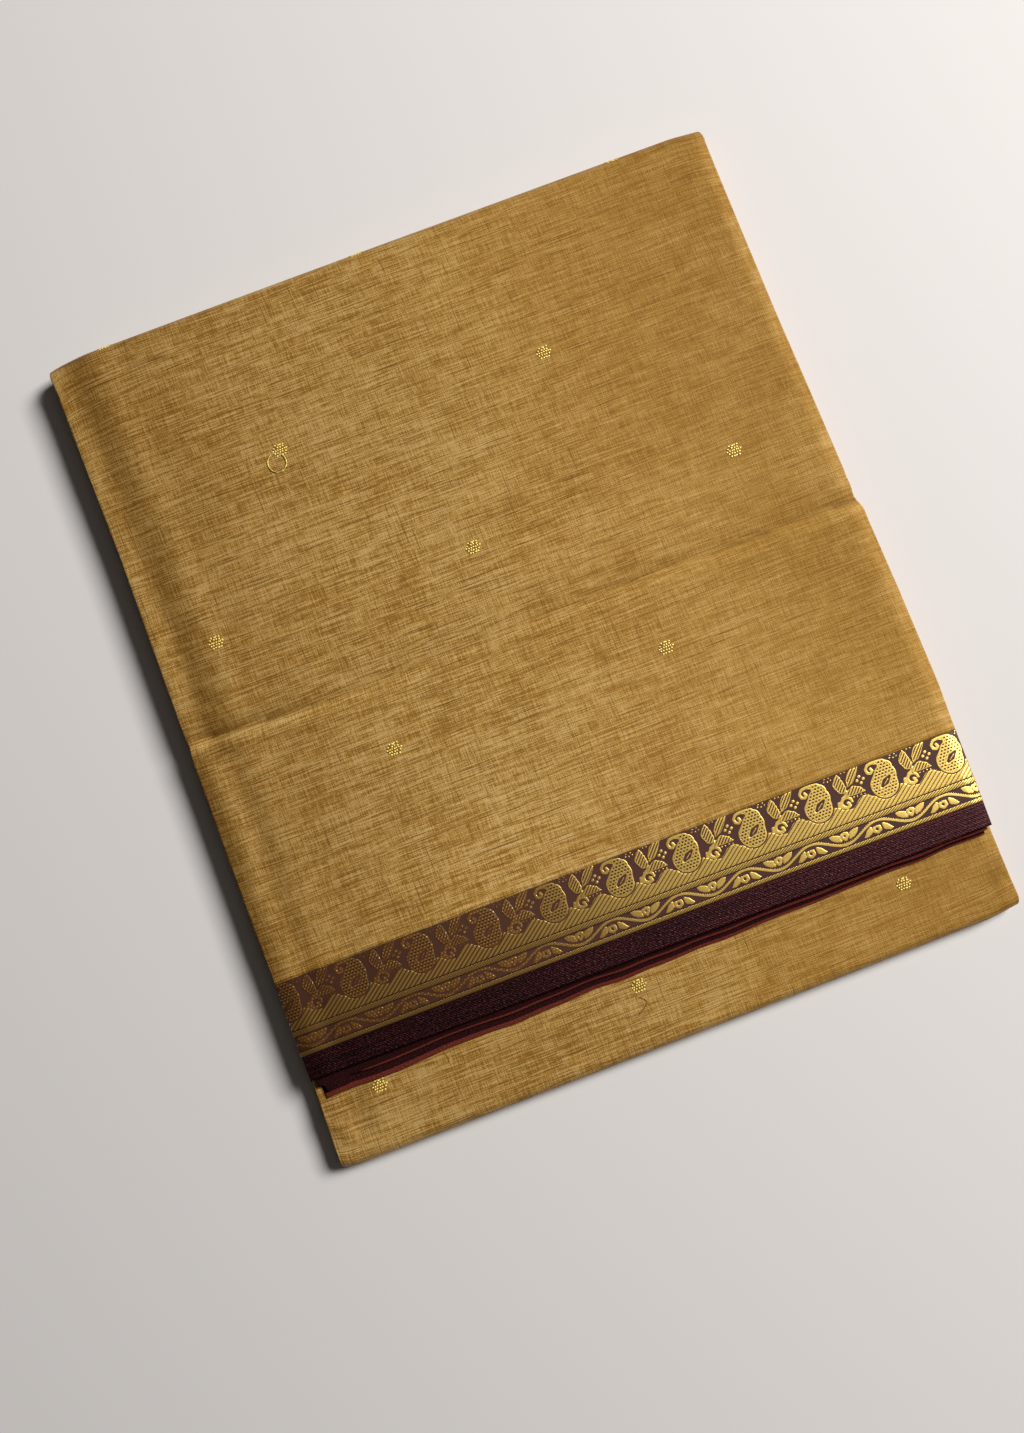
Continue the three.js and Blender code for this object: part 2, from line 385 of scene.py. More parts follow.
class Finish:
    def __init__(self, name, roughness, specular=0.5, tint=(1, 1, 1)):
        self.material = bpy.data.materials.new(name)
        self.material.use_nodes = True
        self.tree = self.material.node_tree
        self.shader = self.tree.nodes["Principled BSDF"]
        self.shader.inputs["Roughness"].default_value = roughness
        self.shader.inputs["Specular IOR Level"].default_value = specular
        self.shader.inputs["Specular Tint"].default_value = (*tint, 1)
        self.uv = None

    def node(self, kind, settings, inputs, output=0):
        made = self.tree.nodes.new(kind)
        for key, value in settings.items():
            if key == "stops":
                self.setStops(made.color_ramp, value)
            else:
                setattr(made, key, value)
        pairs = inputs.items() if isinstance(inputs, dict) else enumerate(inputs)
        for key, value in pairs:
            if isinstance(value, Sock):
                self.tree.links.new(value.socket, made.inputs[key])
            else:
                made.inputs[key].default_value = value
        return Sock(self, made.outputs[output])

    def setStops(self, ramp, stops):
        while len(ramp.elements) > 1:
            ramp.elements.remove(ramp.elements[-1])
        for i, (place, colour) in enumerate(stops):
            stop = ramp.elements[0] if i == 0 else ramp.elements.new(place)
            stop.position = place
            stop.color = (*colour, 1)

    def plate(self, factor, colour, roughness):
        metal = self.tree.nodes.new("ShaderNodeBsdfPrincipled")
        metal.inputs["Base Color"].default_value = (*colour, 1)
        metal.inputs["Metallic"].default_value = 1.0
        metal.inputs["Roughness"].default_value = roughness
        mix = self.tree.nodes.new("ShaderNodeMixShader")
        self.tree.links.new(factor.socket, mix.inputs[0])
        self.tree.links.new(self.shader.outputs[0], mix.inputs[1])
        self.tree.links.new(metal.outputs[0], mix.inputs[2])
        self.tree.links.new(mix.outputs[0], self.tree.nodes["Material Output"].inputs[0])
        for link in self.shader.inputs["Normal"].links:
            self.tree.links.new(link.from_socket, metal.inputs["Normal"])

    def feed(self, name, value):
        self.tree.links.new(value.socket, self.shader.inputs[name])

    def weave(self):
        if self.uv is None:
            self.uv = self.node("ShaderNodeUVMap", {"uv_map": "weave"}, {})
        split = self.tree.nodes.new("ShaderNodeSeparateXYZ")
        self.tree.links.new(self.uv.socket, split.inputs[0])
        return Sock(self, split.outputs[0]), Sock(self, split.outputs[1])

    def at(self, x, y, z=0.0):
        return self.node("ShaderNodeCombineXYZ", {}, (x, y, z))

    def noise(self, x, y, z=0.0, detail=2.0, roughness=0.5):
        settings = {"noise_dimensions": "3D"}
        inputs = {"Vector": self.at(x, y, z), "Scale": 1.0, "Detail": detail, "Roughness": roughness}
        return self.node("ShaderNodeTexNoise", settings, inputs)

    def step(self, value, low, high, toLow=0.0, toHigh=1.0):
        settings = {"interpolation_type": "SMOOTHSTEP"}
        return self.node("ShaderNodeMapRange", settings, (value, low, high, toLow, toHigh))

    def blend(self, factor, first, second, mode="MIX"):
        inputs = {0: factor, 6: self.rgba(first), 7: self.rgba(second)}
        settings = {"data_type": "RGBA", "blend_type": mode}
        return self.node("ShaderNodeMix", settings, inputs, output=2)

    def rgba(self, colour):
        return colour if isinstance(colour, Sock) else (*colour, 1)

    def streak(self, x, y, seed, reach):
        return self.step(self.noise(x, y, seed * 7.3), 0.5 - reach, 0.5 + reach)

    # Painted shade and highlight: the colour is multiplied by the shade attribute, blue most, so darker
    # places turn warmer.
    def shaded(self, colour):
        shade = self.attribute("shade")
        warm = [shade.maths("POWER", power) for power in (0.9, 1.05, 1.45)]
        return self.blend(1.0, colour, self.node("ShaderNodeCombineColor", {}, warm), mode="MULTIPLY")

    def attribute(self, name):
        return self.node("ShaderNodeAttribute", {"attribute_name": name}, {}, output=2)

    def relief(self, height, distance):
        inputs = {"Height": height, "Distance": distance, "Strength": 1.0}
        self.feed("Normal", self.node("ShaderNodeBump", {}, inputs))


def tone(red, green, blue):
    shares = [part / 255 for part in (red, green, blue)]
    return tuple(((c + 0.055) / 1.055) ** 2.4 if c > 0.04 else c / 12.92 for c in shares)


clothLook = {
    "dark": tone(140, 97, 36),
    "mid": tone(178, 135, 64),
    "light": tone(205, 169, 108),
    "slub": tone(108, 70, 24),
    # painted shade: the colour warmer and a little darker towards the right
    "rightTint": (0.98, 0.93, 0.76),
    "contrast": (0.75, 1.45),  # the weave is more even to the right
    "streaks": [  # size along the weft and along the warp in millimetres, softness, weight
        (22, 0.6, 0.16, 0.23),
        (9, 0.45, 0.16, 0.21),
        (0.45, 9, 0.16, 0.20),
        (0.6, 0.5, 0.16, 0.16),
        (1.7, 45, 0.18, 0.05),
        (11, 13, 0.20, 0.06),
        (60, 45, 0.24, 0.09),
    ],
}


def clothFinish():
    look = clothLook
    finish = Finish("silkCotton", 0.5, specular=0.35, tint=(1.0, 0.78, 0.42))
    u, v = finish.weave()
    layers = [
        finish.streak(u / along, v / across, i + 1, reach)
        for i, (along, across, reach, _) in enumerate(look["streaks"])
    ]
    grain = sum(layer * row[3] for layer, row in zip(layers, look["streaks"]))
    grain = (grain - 0.5) * finish.step(u, 130, -60, *look["contrast"]) + 0.5
    stops = [(0.24, look["dark"]), (0.5, look["mid"]), (0.77, look["light"])]
    colour = finish.node("ShaderNodeValToRGB", {"stops": stops}, (grain,))
    gather = finish.step(finish.noise(u / 70, v / 14, 83, 1.0), 0.36, 0.60, 0.25, 1.0)
    weft = finish.step(finish.noise(u / 34, v / 0.7, 57, 1.0), 0.38, 0.28) * gather
    warp = finish.step(finish.noise(u / 0.75, v / 42, 64, 1.0), 0.37, 0.28) * (1.2 - gather)
    slub = (weft * 0.85).maths("MAXIMUM", warp * 0.68) * finish.step(u, 150, 20, 0.45, 1.0)
    colour = finish.blend(slub, colour, look["slub"])
    bright = finish.step(finish.noise(u / 15, v / 0.6, 71, 1.0), 0.64, 0.74)
    colour = finish.blend(bright * 0.5, colour, look["light"])
    colour = finish.blend(finish.step(u, -30, 160), colour, look["rightTint"], mode="MULTIPLY")
    finish.feed("Base Color", finish.shaded(colour))
    finish.feed("Roughness", finish.step(layers[5] + layers[6], 0.4, 1.6, 0.6, 0.42))
    height = layers[0] * 0.5 + layers[1] * 0.4 + layers[2] * 0.3 + layers[3] * 0.3 - slub * 0.6
    finish.relief(height, 0.00014)
    return finish.material


bandLook = {
    "ground": tone(88, 49, 40),
    "groundDark": tone(58, 29, 24),
    "groundShaded": tone(76, 46, 27),
    "gold": (0.96, 0.66, 0.17),
    "core": tone(124, 76, 24),
    "coreShaded": tone(100, 57, 16),
    "line": tone(44, 22, 16),
    "paintedSheen": (-75, 20),  # painted shade and reflection: between these places along the band the gold goes from dull to bright
}


def threadFinish():
    finish = Finish("goldThread", 0.3, specular=0.8, tint=(1.0, 0.85, 0.5))
    u, v = finish.weave()
    strand = finish.step(finish.noise(u * 2.2, v * 2.2, 0.0, 1.0), 0.35, 0.6)
    gold = finish.blend(strand, (1.0, 0.72, 0.08), (1.0, 0.91, 0.34))
    # painted shade: the bed between the floats is darker
    shadedBed = finish.attribute("shadedBed")
    finish.feed("Base Color", finish.blend(shadedBed, gold, tone(150, 98, 18)))
    finish.plate((1 - shadedBed) * 0.25, (1.0, 0.84, 0.28), 0.36)
    return finish.material


def pitch(value, size):
    return (value / size).maths("FRACT")


def domed(value, size):
    share = pitch(value, size) * 2 - 1
    return 1 - share * share


# One repeat of the band, charted from the photo, in millimetres along it and down from its top edge.
bandFigure = {
    "top": 0.0490,  # v of the band's top edge
    "bottom": 0.0123,
    "repeat": 34.0,
    "start": 91.2,
    "hatch": 34 / 12,
    "dots": (1.7, 1.42),
    "veins": 1.75,
    "ropes": [(24.15, 26.75), (34.5, 36.95)],
    "lines": (23.95, 26.95, 34.25),
    "vine": (30.5, 2.95),  # its middle line and how far it swings
    "mound": [  # the scalloped top of the hatched field
        (-4.5, 14.1), (-1.5, 14.4), (0.5, 16.2), (15.2, 14.9), (17.5, 16.2),
        (19.5, 17.8), (23.5, 18.4), (25.5, 17.0), (27.5, 15.1), (29.5, 14.1),
    ],
}


def bandFinish():
    look = bandLook
    finish = Finish("zariBand", 0.5, specular=0.3)
    u, v = finish.weave()
    down = bandFigure["top"] / mm - v
    threads = finish.noise(u / 1.4, v * 2.6, 0.0, 1.0)
    mango, leaf, field, plain = [
        finish.step(finish.attribute(name), 0.12, -0.12) for name in ("mango", "leaf", "field", "plain")
    ]
    deepMango = finish.step(finish.attribute("mango"), -0.5, -0.85)
    deepLeaf = finish.step(finish.attribute("leaf"), -0.35, -0.6)

    dotWide, dotTall = bandFigure["dots"]
    odd = ((down / dotTall).maths("FLOOR") * 0.5).maths("FRACT")
    cell, rise = pitch(u + odd * dotWide, dotWide), pitch(down, dotTall)
    dots = finish.step(cell, 0.60, 0.48) * finish.step(rise, 0.62, 0.48) * deepMango
    leafSlant = u - v * 0.9 + 100
    veins = finish.step(pitch(leafSlant, bandFigure["veins"]), 0.46, 0.32) * deepLeaf
    slant = u - v * 1.28 + 400
    teeth = finish.step(pitch(down, 0.7), 0.35, 0.65, 0.0, 0.07)
    hatch = finish.step(pitch(slant, bandFigure["hatch"]) + teeth, 0.27, 0.17)
    hatchDome = domed(slant, bandFigure["hatch"])
    turn = (u - bandFigure["start"] + 2.4) * (2 * math.pi / bandFigure["repeat"])
    middle, swing = bandFigure["vine"]
    wave = (down - middle + turn.maths("COSINE") * swing) * 0.92
    upper = finish.step(pitch(u, 1.05), 0.35, 0.6) * finish.step(wave, 0.0, -0.2)
    stem = finish.step(wave.maths("ABSOLUTE") - upper * 0.32, 0.58, 0.42)
    gold = (mango * (1 - dots)).maths("MAXIMUM", leaf * (1 - veins * 0.95))
    gold = gold.maths("MAXIMUM", field * (1 - hatch * 0.92)).maths("MAXIMUM", plain).maths("MAXIMUM", stem)

    rope = sum(
        finish.step(down, top, top + 0.2) * finish.step(down, bottom, bottom - 0.2)
        for top, bottom in bandFigure["ropes"]
    )
    strand = domed(u - v * 1.75 + 500, 1.9)
    gold = gold * (1 - rope) + rope * finish.step(strand, 0.38, 0.78, 0.2, 1.0)
    gaps = sum(finish.step((down - line).maths("ABSOLUTE"), 0.34, 0.14) for line in bandFigure["lines"])
    gold = gold * (1 - gaps)

    # Painted shade and reflection: to the left the ground is darker and browner and the gold duller with
    # less metal, to the right brighter with more metal.
    bright = finish.step(u, *look["paintedSheen"])
    groundTone = finish.blend(threads, look["groundDark"], look["ground"])
    groundTone = finish.blend((1 - bright) * 0.7, groundTone, look["groundShaded"])
    dark = (gaps + dots + (hatch * field) * 0.5).maths("MINIMUM", 1.0)
    groundTone = finish.blend(dark, groundTone, look["line"])
    sparkle = finish.step(cell, 0.52, 0.66) * finish.step(rise, 0.48, 0.62)
    figures = (mango + leaf + plain + stem).maths("MINIMUM", 1.0)
    lines = finish.step(hatchDome, 0.5, 0.9) * field * 0.8
    sparkle = (sparkle * figures).maths("MAXIMUM", lines)
    core = finish.blend(bright, look["coreShaded"], look["core"])
    finish.feed("Base Color", finish.shaded(finish.blend(gold, groundTone, core)))
    floats = hatchDome * field * 0.25 + domed(leafSlant, bandFigure["veins"]) * leaf * 0.25
    height = gold * 0.2 + floats + rope * strand * 0.22 + threads * 0.10
    finish.relief(height, 0.0003)
    dull = (sparkle * 0.85 + rope * 0.5 + 0.02).maths("MINIMUM", 0.95)
    finish.plate(gold * (dull * (1 - bright) + bright * 0.80), look["gold"], 0.41)
    return finish.material


stripeLook = {
    "deep": tone(6, 2, 3),
    "thread": tone(92, 36, 38),
    "redDeep": tone(70, 24, 19),
    "red": tone(132, 58, 46),
}


def stripeFinish():
    look = stripeLook
    finish = Finish("selvageStripe", 0.42, specular=0.28, tint=(1.0, 0.5, 0.55))
    u, v = finish.weave()
    twill = domed(u + v + 300, 1.5) * finish.step(finish.noise(u * 0.7, v * 1.7, 3.0), 0.30, 0.68)
    twill = twill * twill
    wale = domed(v, 2.05)
    # Painted sheen: the stripe lighter and redder towards the right.
    paintedSheen = finish.step(u, -150, 150)
    rows = finish.streak(u / 60, v / 0.75, 13, 0.12)
    tint = twill * (rows * 1.1 + 0.35) * (paintedSheen * 0.6 + 0.5) + wale * paintedSheen * 0.12 + rows * 0.02
    finish.feed("Base Color", finish.blend(tint, look["deep"], look["thread"]))
    finish.relief(twill + wale * 0.4, 0.00015)
    return finish.material


def selvageFinish():
    look = stripeLook
    finish = Finish("selvageEdge", 0.6, specular=0.12, tint=(1.0, 0.55, 0.5))
    u, v = finish.weave()
    twill = domed(u + v + 300, 1.1) * finish.step(finish.noise(u * 0.9, v * 2.4, 5.0), 0.38, 0.58)
    redEdge = finish.step(finish.attribute("red"), 0.45, 0.55)
    dark = finish.blend(twill * 0.45, look["deep"], look["thread"])
    red = finish.blend(twill * 0.7 + 0.2, look["redDeep"], look["red"])
    finish.feed("Base Color", finish.blend(redEdge, dark, red))
    finish.relief(twill, 0.00015)
    return finish.material


# Strokes of one repeat: along the band, down from its top edge, and half the width there.
mangoBody = [
    (7.9, 12.4, 6.9), (9.6, 8.6, 5.5), (10.6, 5.3, 3.8), (9.9, 2.9, 2.3), (8.0, 1.4, 1.3),
    (5.2, 0.9, 0.8), (2.9, 1.4, 0.7), (1.4, 3.1, 0.65), (1.8, 5.0, 0.65), (3.4, 5.7, 0.6),
    (4.5, 4.6, 0.55), (3.8, 3.5, 0.7),
]
mangoHole = [(6.4, 13.3, 0.7), (8.7, 11.7, 1.6), (11.4, 9.8, 0.6)]

leafStrokes = [
    [(23.0, 10.4, 0.3), (21.4, 7.8, 2.3), (20.6, 5.2, 2.7), (21.0, 2.8, 1.7), (21.4, 0.4, 0.25)],
    [(24.6, 7.6, 0.4), (26.4, 5.3, 1.9), (28.3, 2.9, 2.2), (30.2, 1.0, 1.7), (31.8, -0.6, 0.9)],
    [(22.4, 12.0, 0.3), (24.6, 10.9, 1.6), (26.9, 10.4, 2.3), (29.4, 11.0, 1.6), (32.0, 12.4, 0.25)],
]
plainStrokes = [
    [(7.6, 12.8, 0.25), (10.3, 10.7, 0.25)],
    [(23.4, 9.6, 0.45), (22.0, 11.3, 0.6), (20.2, 12.1, 0.65)],
    [
        (22.4, 12.4, 0.6), (20.3, 12.5, 0.7), (18.9, 14.0, 0.8),
        (19.1, 16.0, 0.8), (20.9, 17.2, 0.75), (22.7, 16.6, 0.7),
    ],
    [(22.4, 12.4, 0.6), (23.9, 13.5, 0.6), (24.3, 15.2, 0.5)],
    [(21.9, 15.0, 0.7), (22.6, 15.4, 0.6)],
    [(17.7, 13.7, 0.6), (17.4, 16.0, 0.8)],
    [(31.4, 5.0, 0.75)],
    [(31.4, 8.2, 0.75)],
    [(29.8, 6.6, 0.75)],
    [(33.0, 6.6, 0.75)],
    [(7.6, 27.6, 0.4), (9.0, 28.4, 1.3), (10.9, 29.4, 1.6), (12.4, 31.0, 0.5)],
    [(21.8, 27.6, 0.4), (20.4, 28.4, 1.3), (18.5, 29.4, 1.6), (17.0, 31.0, 0.5)],
    [
        (13.4, 28.4, 0.8), (13.6, 29.9, 0.6), (14.7, 30.9, 0.8),
        (15.8, 29.9, 0.6), (16.0, 28.4, 0.8), (14.7, 27.9, 0.7),
    ],
    [(-10.4, 33.4, 0.3), (-8.9, 32.9, 1.0), (-7.4, 31.7, 1.5), (-6.4, 30.1, 0.7)],
    [(4.2, 33.4, 0.3), (2.8, 32.9, 1.0), (1.2, 31.7, 1.5), (0.2, 30.1, 0.7)],
    [
        (-4.7, 30.6, 0.75), (-5.0, 32.2, 0.7), (-3.4, 33.2, 0.65),
        (-1.8, 32.2, 0.7), (-2.1, 30.6, 0.75), (-3.4, 30.2, 0.5),
    ],
]
dotPlaces = [
    (15.0, 0.5), (17.2, 0.5), (14.4, 1.8), (16.2, 2.1), (17.9, 1.9), (23.6, 0.5), (25.4, 0.6),
    (27.4, 13.6), (29.4, 13.3), (31.2, 13.7), (25.6, 13.4),
]


def strokeDistance(x, y, stroke):
    best = np.full_like(x, 99.0)
    ends = stroke[1:] if len(stroke) > 1 else stroke
    for (ax, ay, ar), (bx, by, br) in zip(stroke, ends):
        dx, dy = bx - ax, by - ay
        length = dx * dx + dy * dy + 1e-9
        t = np.clip(((x - ax) * dx + (y - ay) * dy) / length, 0, 1)
        away = np.hypot(x - ax - t * dx, y - ay - t * dy) - (ar + (br - ar) * t)
        best = np.minimum(best, away)
    return best


def repeated(x, y, stroke):
    size = bandFigure["repeat"]
    return np.minimum.reduce([strokeDistance(x + shift, y, stroke) for shift in (-size, 0, size)])


def bandDistances(u, v):
    size = bandFigure["repeat"]
    x = np.mod(u / mm - bandFigure["start"], size)
    y = (bandFigure["top"] - v) / mm
    body = repeated(x, y, mangoBody)
    mango = np.maximum(body, -repeated(x, y, mangoHole))
    leaf = np.minimum.reduce([repeated(x, y, stroke) for stroke in leafStrokes])
    plain = np.minimum.reduce([repeated(x, y, stroke) for stroke in plainStrokes])
    for px, py in dotPlaces:
        plain = np.minimum(plain, repeated(x, y, [(px, py, 0.42)]))
    mound = np.array(bandFigure["mound"])
    edge = np.interp(np.where(x > 29.5, x - size, x), mound[:, 0], mound[:, 1])
    field = np.maximum((edge - y) * 0.8, y - 23.75)
    field = np.maximum(field, -(body - 0.55))
    plain = np.maximum(plain, -np.minimum(body - 0.2, 9))
    slit = repeated(x, y, plainStrokes[0])
    plain = np.minimum(plain, slit)
    return {"mango": mango, "leaf": leaf, "field": field, "plain": plain}


def setAttribute(piece, name, values):
    layer = piece.data.attributes.new(name, "FLOAT", "POINT")
    layer.data.foreach_set("value", values.astype(np.float32))


# Shares of brightness on the top leaf and band. Painted shade and highlight: bands beside both edges, shade
# above the crease and highlight below it, a pinch of both at its left end, and darker towards the top and
# the lower left. Also a paler strip just above the band.
def shadeOf(u, v):
    inFromLeft = u + bundle["width"] / 2
    y = bundle["selvageY"] + v
    lower = belowCrease(y)
    inFromLeft = inFromLeft + 0.0012 * ripples(y, 0 * y, 0.06, 1, 77)
    shade = besideEdge(edgeShade, inFromLeft, lower, 0.002)
    paleStrip = 0.10 * bump(v, bandFigure["top"] + 0.0022, 0.0014) * (0.7 + 0.3 * ripples(u, v, 0.05, 2, 41))
    away = y - creaseLine(u)
    press = eased(creaseTable, u, 2, 0.008) * (0.9 + 0.25 * ripples(u, v, 0.04, 1, 42))
    crease = np.where(away > 0, 0.32 * np.exp(-away / 0.0032) + 0.18 * np.exp(-away / 0.010), 0.0)
    crease = press * (crease + 0.12 * bump(away, 0, 0.0008) - 0.22 * bump(away, -0.0034, 0.0030))
    pinchShade = 0.24 * bump(away, -0.0078, 0.0022) - 0.22 * bump(away, -0.0034, 0.0018)
    crease = crease + pinchShade * smooth(-u, 0.146, 0.160)
    inFromRight = bundle["width"] / 2 - u
    paintedFalloff = 1 - 0.12 * smooth(y, -0.03, 0.17) + 0.09 * smooth(-y, 0.04, 0.11)
    paintedFalloff = paintedFalloff - 0.15 * smooth(-u - y * 0.6, 0.11, 0.22)
    return (shade + paleStrip) * paintedFalloff * (1 - crease) * lookUp(rightShade, inFromRight, 1)


# Shares of brightness on the lower leaf: a darker patch at its right end; painted shade and highlights
# about its folded left corner and edges; painted shade darker towards the left; and rightShade.
def shadeBelow(u, v):
    y = bottomFoldY + v - vLower
    patch = 0.30 * bump(u, 0.171, 0.006) * bump(y, -0.190, 0.011)
    left = 0.17 * bump(u, -0.161, 0.009) * bump(y, -0.182, 0.016) - 0.12 * bump(u, -0.1735, 0.003)
    left = left - 0.16 * bump(u, -0.1475, 0.0012) - 0.08 * bump(u, -0.140, 0.006)
    left = left - 0.14 * bump(y, -0.2035, 0.0025) * smooth(-u, 0.125, 0.16)
    paintedFalloff = 0.93 - 0.09 * smooth(-u, 0.02, 0.15)
    return paintedFalloff * (1 - patch - left) * lookUp(rightShade, bundle["width"] / 2 - u, 1)


def clothPiece(name, us, vs, relief=True):
    piece, u, v = flatGrid(name, us, vs)
    setAttribute(piece, "shade", shadeOf(u, v) if relief else shadeBelow(u, v))
    mapWeave(piece, np.stack([u, v], 1))
    setCoordinates(piece, layCloth(u, v, 0 * u, relief))
    thicken(piece, bundle["thickness"])
    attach(piece, "root")
    return piece


topSettings = {"step": 0.0021, "foldStep": 0.0009, "tuckStep": 0.004, "tuck": 0.030}


def makeTopLeaf(finish):
    gap = topSettings["step"]
    vs = spread(bandFigure["top"], vTopFold, gap)
    vs += spread(vTopFold, vBack, topSettings["foldStep"])[1:]
    vs += spread(vBack, vBack + topSettings["tuck"], topSettings["tuckStep"])[1:]
    us = acrossPlaces(gap)
    piece = clothPiece("topLeaf", us, vs)
    piece.data.materials.append(finish)
    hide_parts("top_leaf")


bandSettings = {
    "step": 0.00058,
    "figureRise": 0.00005,
    "ropeRise": 0.00010,
    "ropeMiddles": (25.45, 35.75),  # down from the band's top edge, in millimetres
    "ropeHalf": 1.25,
}


def makeBand(finish):
    us = acrossPlaces(bandSettings["step"])
    vs = spread(bandFigure["bottom"], bandFigure["top"], bandSettings["step"])
    piece, u, v = flatGrid("topBorder", us, vs)
    mapWeave(piece, np.stack([u, v], 1))
    shapes = bandDistances(u, v)
    for name, values in shapes.items():
        setAttribute(piece, name, values)
    setAttribute(piece, "shade", shadeOf(u, v))
    gold = smooth(-np.minimum.reduce(list(shapes.values())), -0.2, 0.3)
    down = (bandFigure["top"] - v) / mm
    offRope = [(down - middle) / bandSettings["ropeHalf"] for middle in bandSettings["ropeMiddles"]]
    ropes = sum(np.sqrt(np.clip(1 - off**2, 0, 1)) for off in offRope)
    rise = bandSettings["figureRise"] * gold + bandSettings["ropeRise"] * ropes
    setCoordinates(piece, layCloth(u, v, rise))
    thicken(piece, bundle["thickness"])
    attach(piece, "root")
    piece.data.materials.append(finish)
    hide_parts("top_border")


stripeSettings = {"step": 0.0021, "downStep": 0.0012}


def makeStripe(finish):
    us = acrossPlaces(stripeSettings["step"])
    vs = spread(0, bandFigure["bottom"], stripeSettings["downStep"])
    piece = clothPiece("topSelvage", us, vs)
    piece.data.materials.append(finish)
    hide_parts("top_selvage")


fanTable = [
    {
        "name": "underSelvageUpper",
        "node": "under_selvage_upper",
        "depth": 0.0014,
        "left": 0.0040,
        "right": 0.0016,
        "setIn": 0.0026,
        "redLeft": 0.0008,
        "redRight": 0.0012,
        "redStart": -0.160,
        "tab": 0.0036,
    },
    {
        "name": "underSelvageLower",
        "node": "under_selvage_lower",
        "depth": 0.0032,
        "left": 0.0106,
        "right": 0.0034,
        "setIn": 0.0040,
        "redLeft": 0.0026,
        "redRight": 0.0006,
        "redStart": -0.200,
        "tab": 0.0,
    },
]


fanSettings = {
    "reach": 0.012,  # cloth below the top leaf's cut edge, before it is laid
    "behind": 0.016,
    "fineUntil": -0.150,
    "tabFrom": -0.169,
    "tabTo": -0.157,
    "thickness": 0.0008,
}


def makeUnderSelvage(row, finish):
    half = bundle["width"] / 2 - row["setIn"]
    fineUntil, below = fanSettings["fineUntil"], fanSettings["reach"]
    us = spread(-half, fineUntil, 0.0007) + spread(fineUntil, half, 0.0025)[1:]
    vs = spread(-below, fanSettings["behind"], 0.0008)
    piece, u, v = flatGrid(row["name"], us, vs)
    mapWeave(piece, np.stack([u, v], 1))
    across = (u + half) / (2 * half)
    reach = row["left"] + (row["right"] - row["left"]) * across
    tabFrom, tabTo = fanSettings["tabFrom"], fanSettings["tabTo"]
    tab = row["tab"] * smooth(u, tabFrom - 0.0005, tabFrom + 0.0005)
    tab = tab * smooth(-u, -tabTo - 0.0005, -tabTo + 0.0005)
    reach = reach + tab + 0.0003 * ripples(u, 0 * u, 0.03, 1, 61)
    away = np.where(v < 0, v / below * reach, v)
    wave = 0.0004 * ripples(u, 0 * u, 0.05, 1, 60) * smooth(-v, 0, below)
    co = layCloth(u, away, 0 * u - row["depth"])
    co[:, 1] += wave
    co[:, 2] -= 0.0004 * smooth(-v, 0, below)
    setCoordinates(piece, co)
    redFrom = reach - (row["redLeft"] + (row["redRight"] - row["redLeft"]) * across)
    red = np.clip((-away - redFrom) / 0.0008 + 0.5, 0, 1)
    setAttribute(piece, "red", red * smooth(u, row["redStart"], row["redStart"] + 0.02))
    thicken(piece, fanSettings["thickness"])
    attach(piece, "root")
    piece.data.materials.append(finish)
    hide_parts(row["node"])
    flatLength = fanSettings["behind"] + (row["left"] + row["right"]) / 2
    2 * half


lowerSettings = {"step": 0.0021, "foldStep": 0.0009, "tuckStep": 0.004, "tuck": 0.020, "length": 0.052}


def makeLowerLeaf(finish):
    us = acrossPlaces(lowerSettings["step"])
    vs = spread(vBottomFold - lowerSettings["tuck"], vBottomFold, lowerSettings["tuckStep"])
    vs += spread(vBottomFold, vLower, lowerSettings["foldStep"])[1:]
    vs += spread(vLower, vLower + lowerSettings["length"], lowerSettings["step"])[1:]
    piece = clothPiece("lowerLeaf", us, vs, relief=False)
    piece.data.materials.append(finish)
    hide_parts("lower_leaf")


backSettings = {"step": 0.004}


def makeBackLeaf(finish):
    us = acrossPlaces(backSettings["step"])
    vs = spread(vBack + topSettings["tuck"], vBottomFold - lowerSettings["tuck"], backSettings["step"])
    piece = clothPiece("backLeaf", us, vs, relief=False)
    piece.data.materials.append(finish)
    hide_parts("back_leaf")


innerSettings = {
    "from": 0.003,  # where the side folds start, from the cut edge
    "inside": 0.008,  # how far they reach in from the sides
    "step": 0.004,
    "turnStep": 0.0013,
    "hiddenStep": 0.006,
    "acrossStep": 0.012,
    "drawIn": (0.0, 0.0005, 0.0002, 0.0008),  # of each ply from the outermost
    # painted shade on the plies inside the folds
    "shade": 0.86,
}


def foldPlaces():
    gap = innerSettings["step"]
    turnGap = innerSettings["turnStep"]
    ends = (innerSettings["from"], vTopFold, vBack, vBottomFold, vLower, bundle["clothWidth"])
    places = [ends[0]]
    for i, (low, high) in enumerate(zip(ends, ends[1:])):
        places += spread(low, high, turnGap if i in (1, 3) else gap)[1:]
    return places


def innerStrips():
    half = bundle["width"] / 2
    hidden = spread(vLower + lowerSettings["length"], bundle["clothWidth"], innerSettings["hiddenStep"])
    strips = [{"us": acrossPlaces(innerSettings["acrossStep"]), "vs": hidden, "ply": 0}]
    for ply in range(1, bundle["foldsLeft"]):
        us = spread(-half - bundle["reachLeft"], -half + 0.0012, 0.0004) + [-half + innerSettings["inside"]]
        strips.append({"us": us, "vs": foldPlaces(), "ply": ply})
    for ply in range(1, bundle["foldsRight"]):
        us = [half - innerSettings["inside"]] + spread(half - 0.0014, half + bundle["reachRight"], 0.0005)
        strips.append({"us": us, "vs": foldPlaces(), "ply": ply})
    return strips


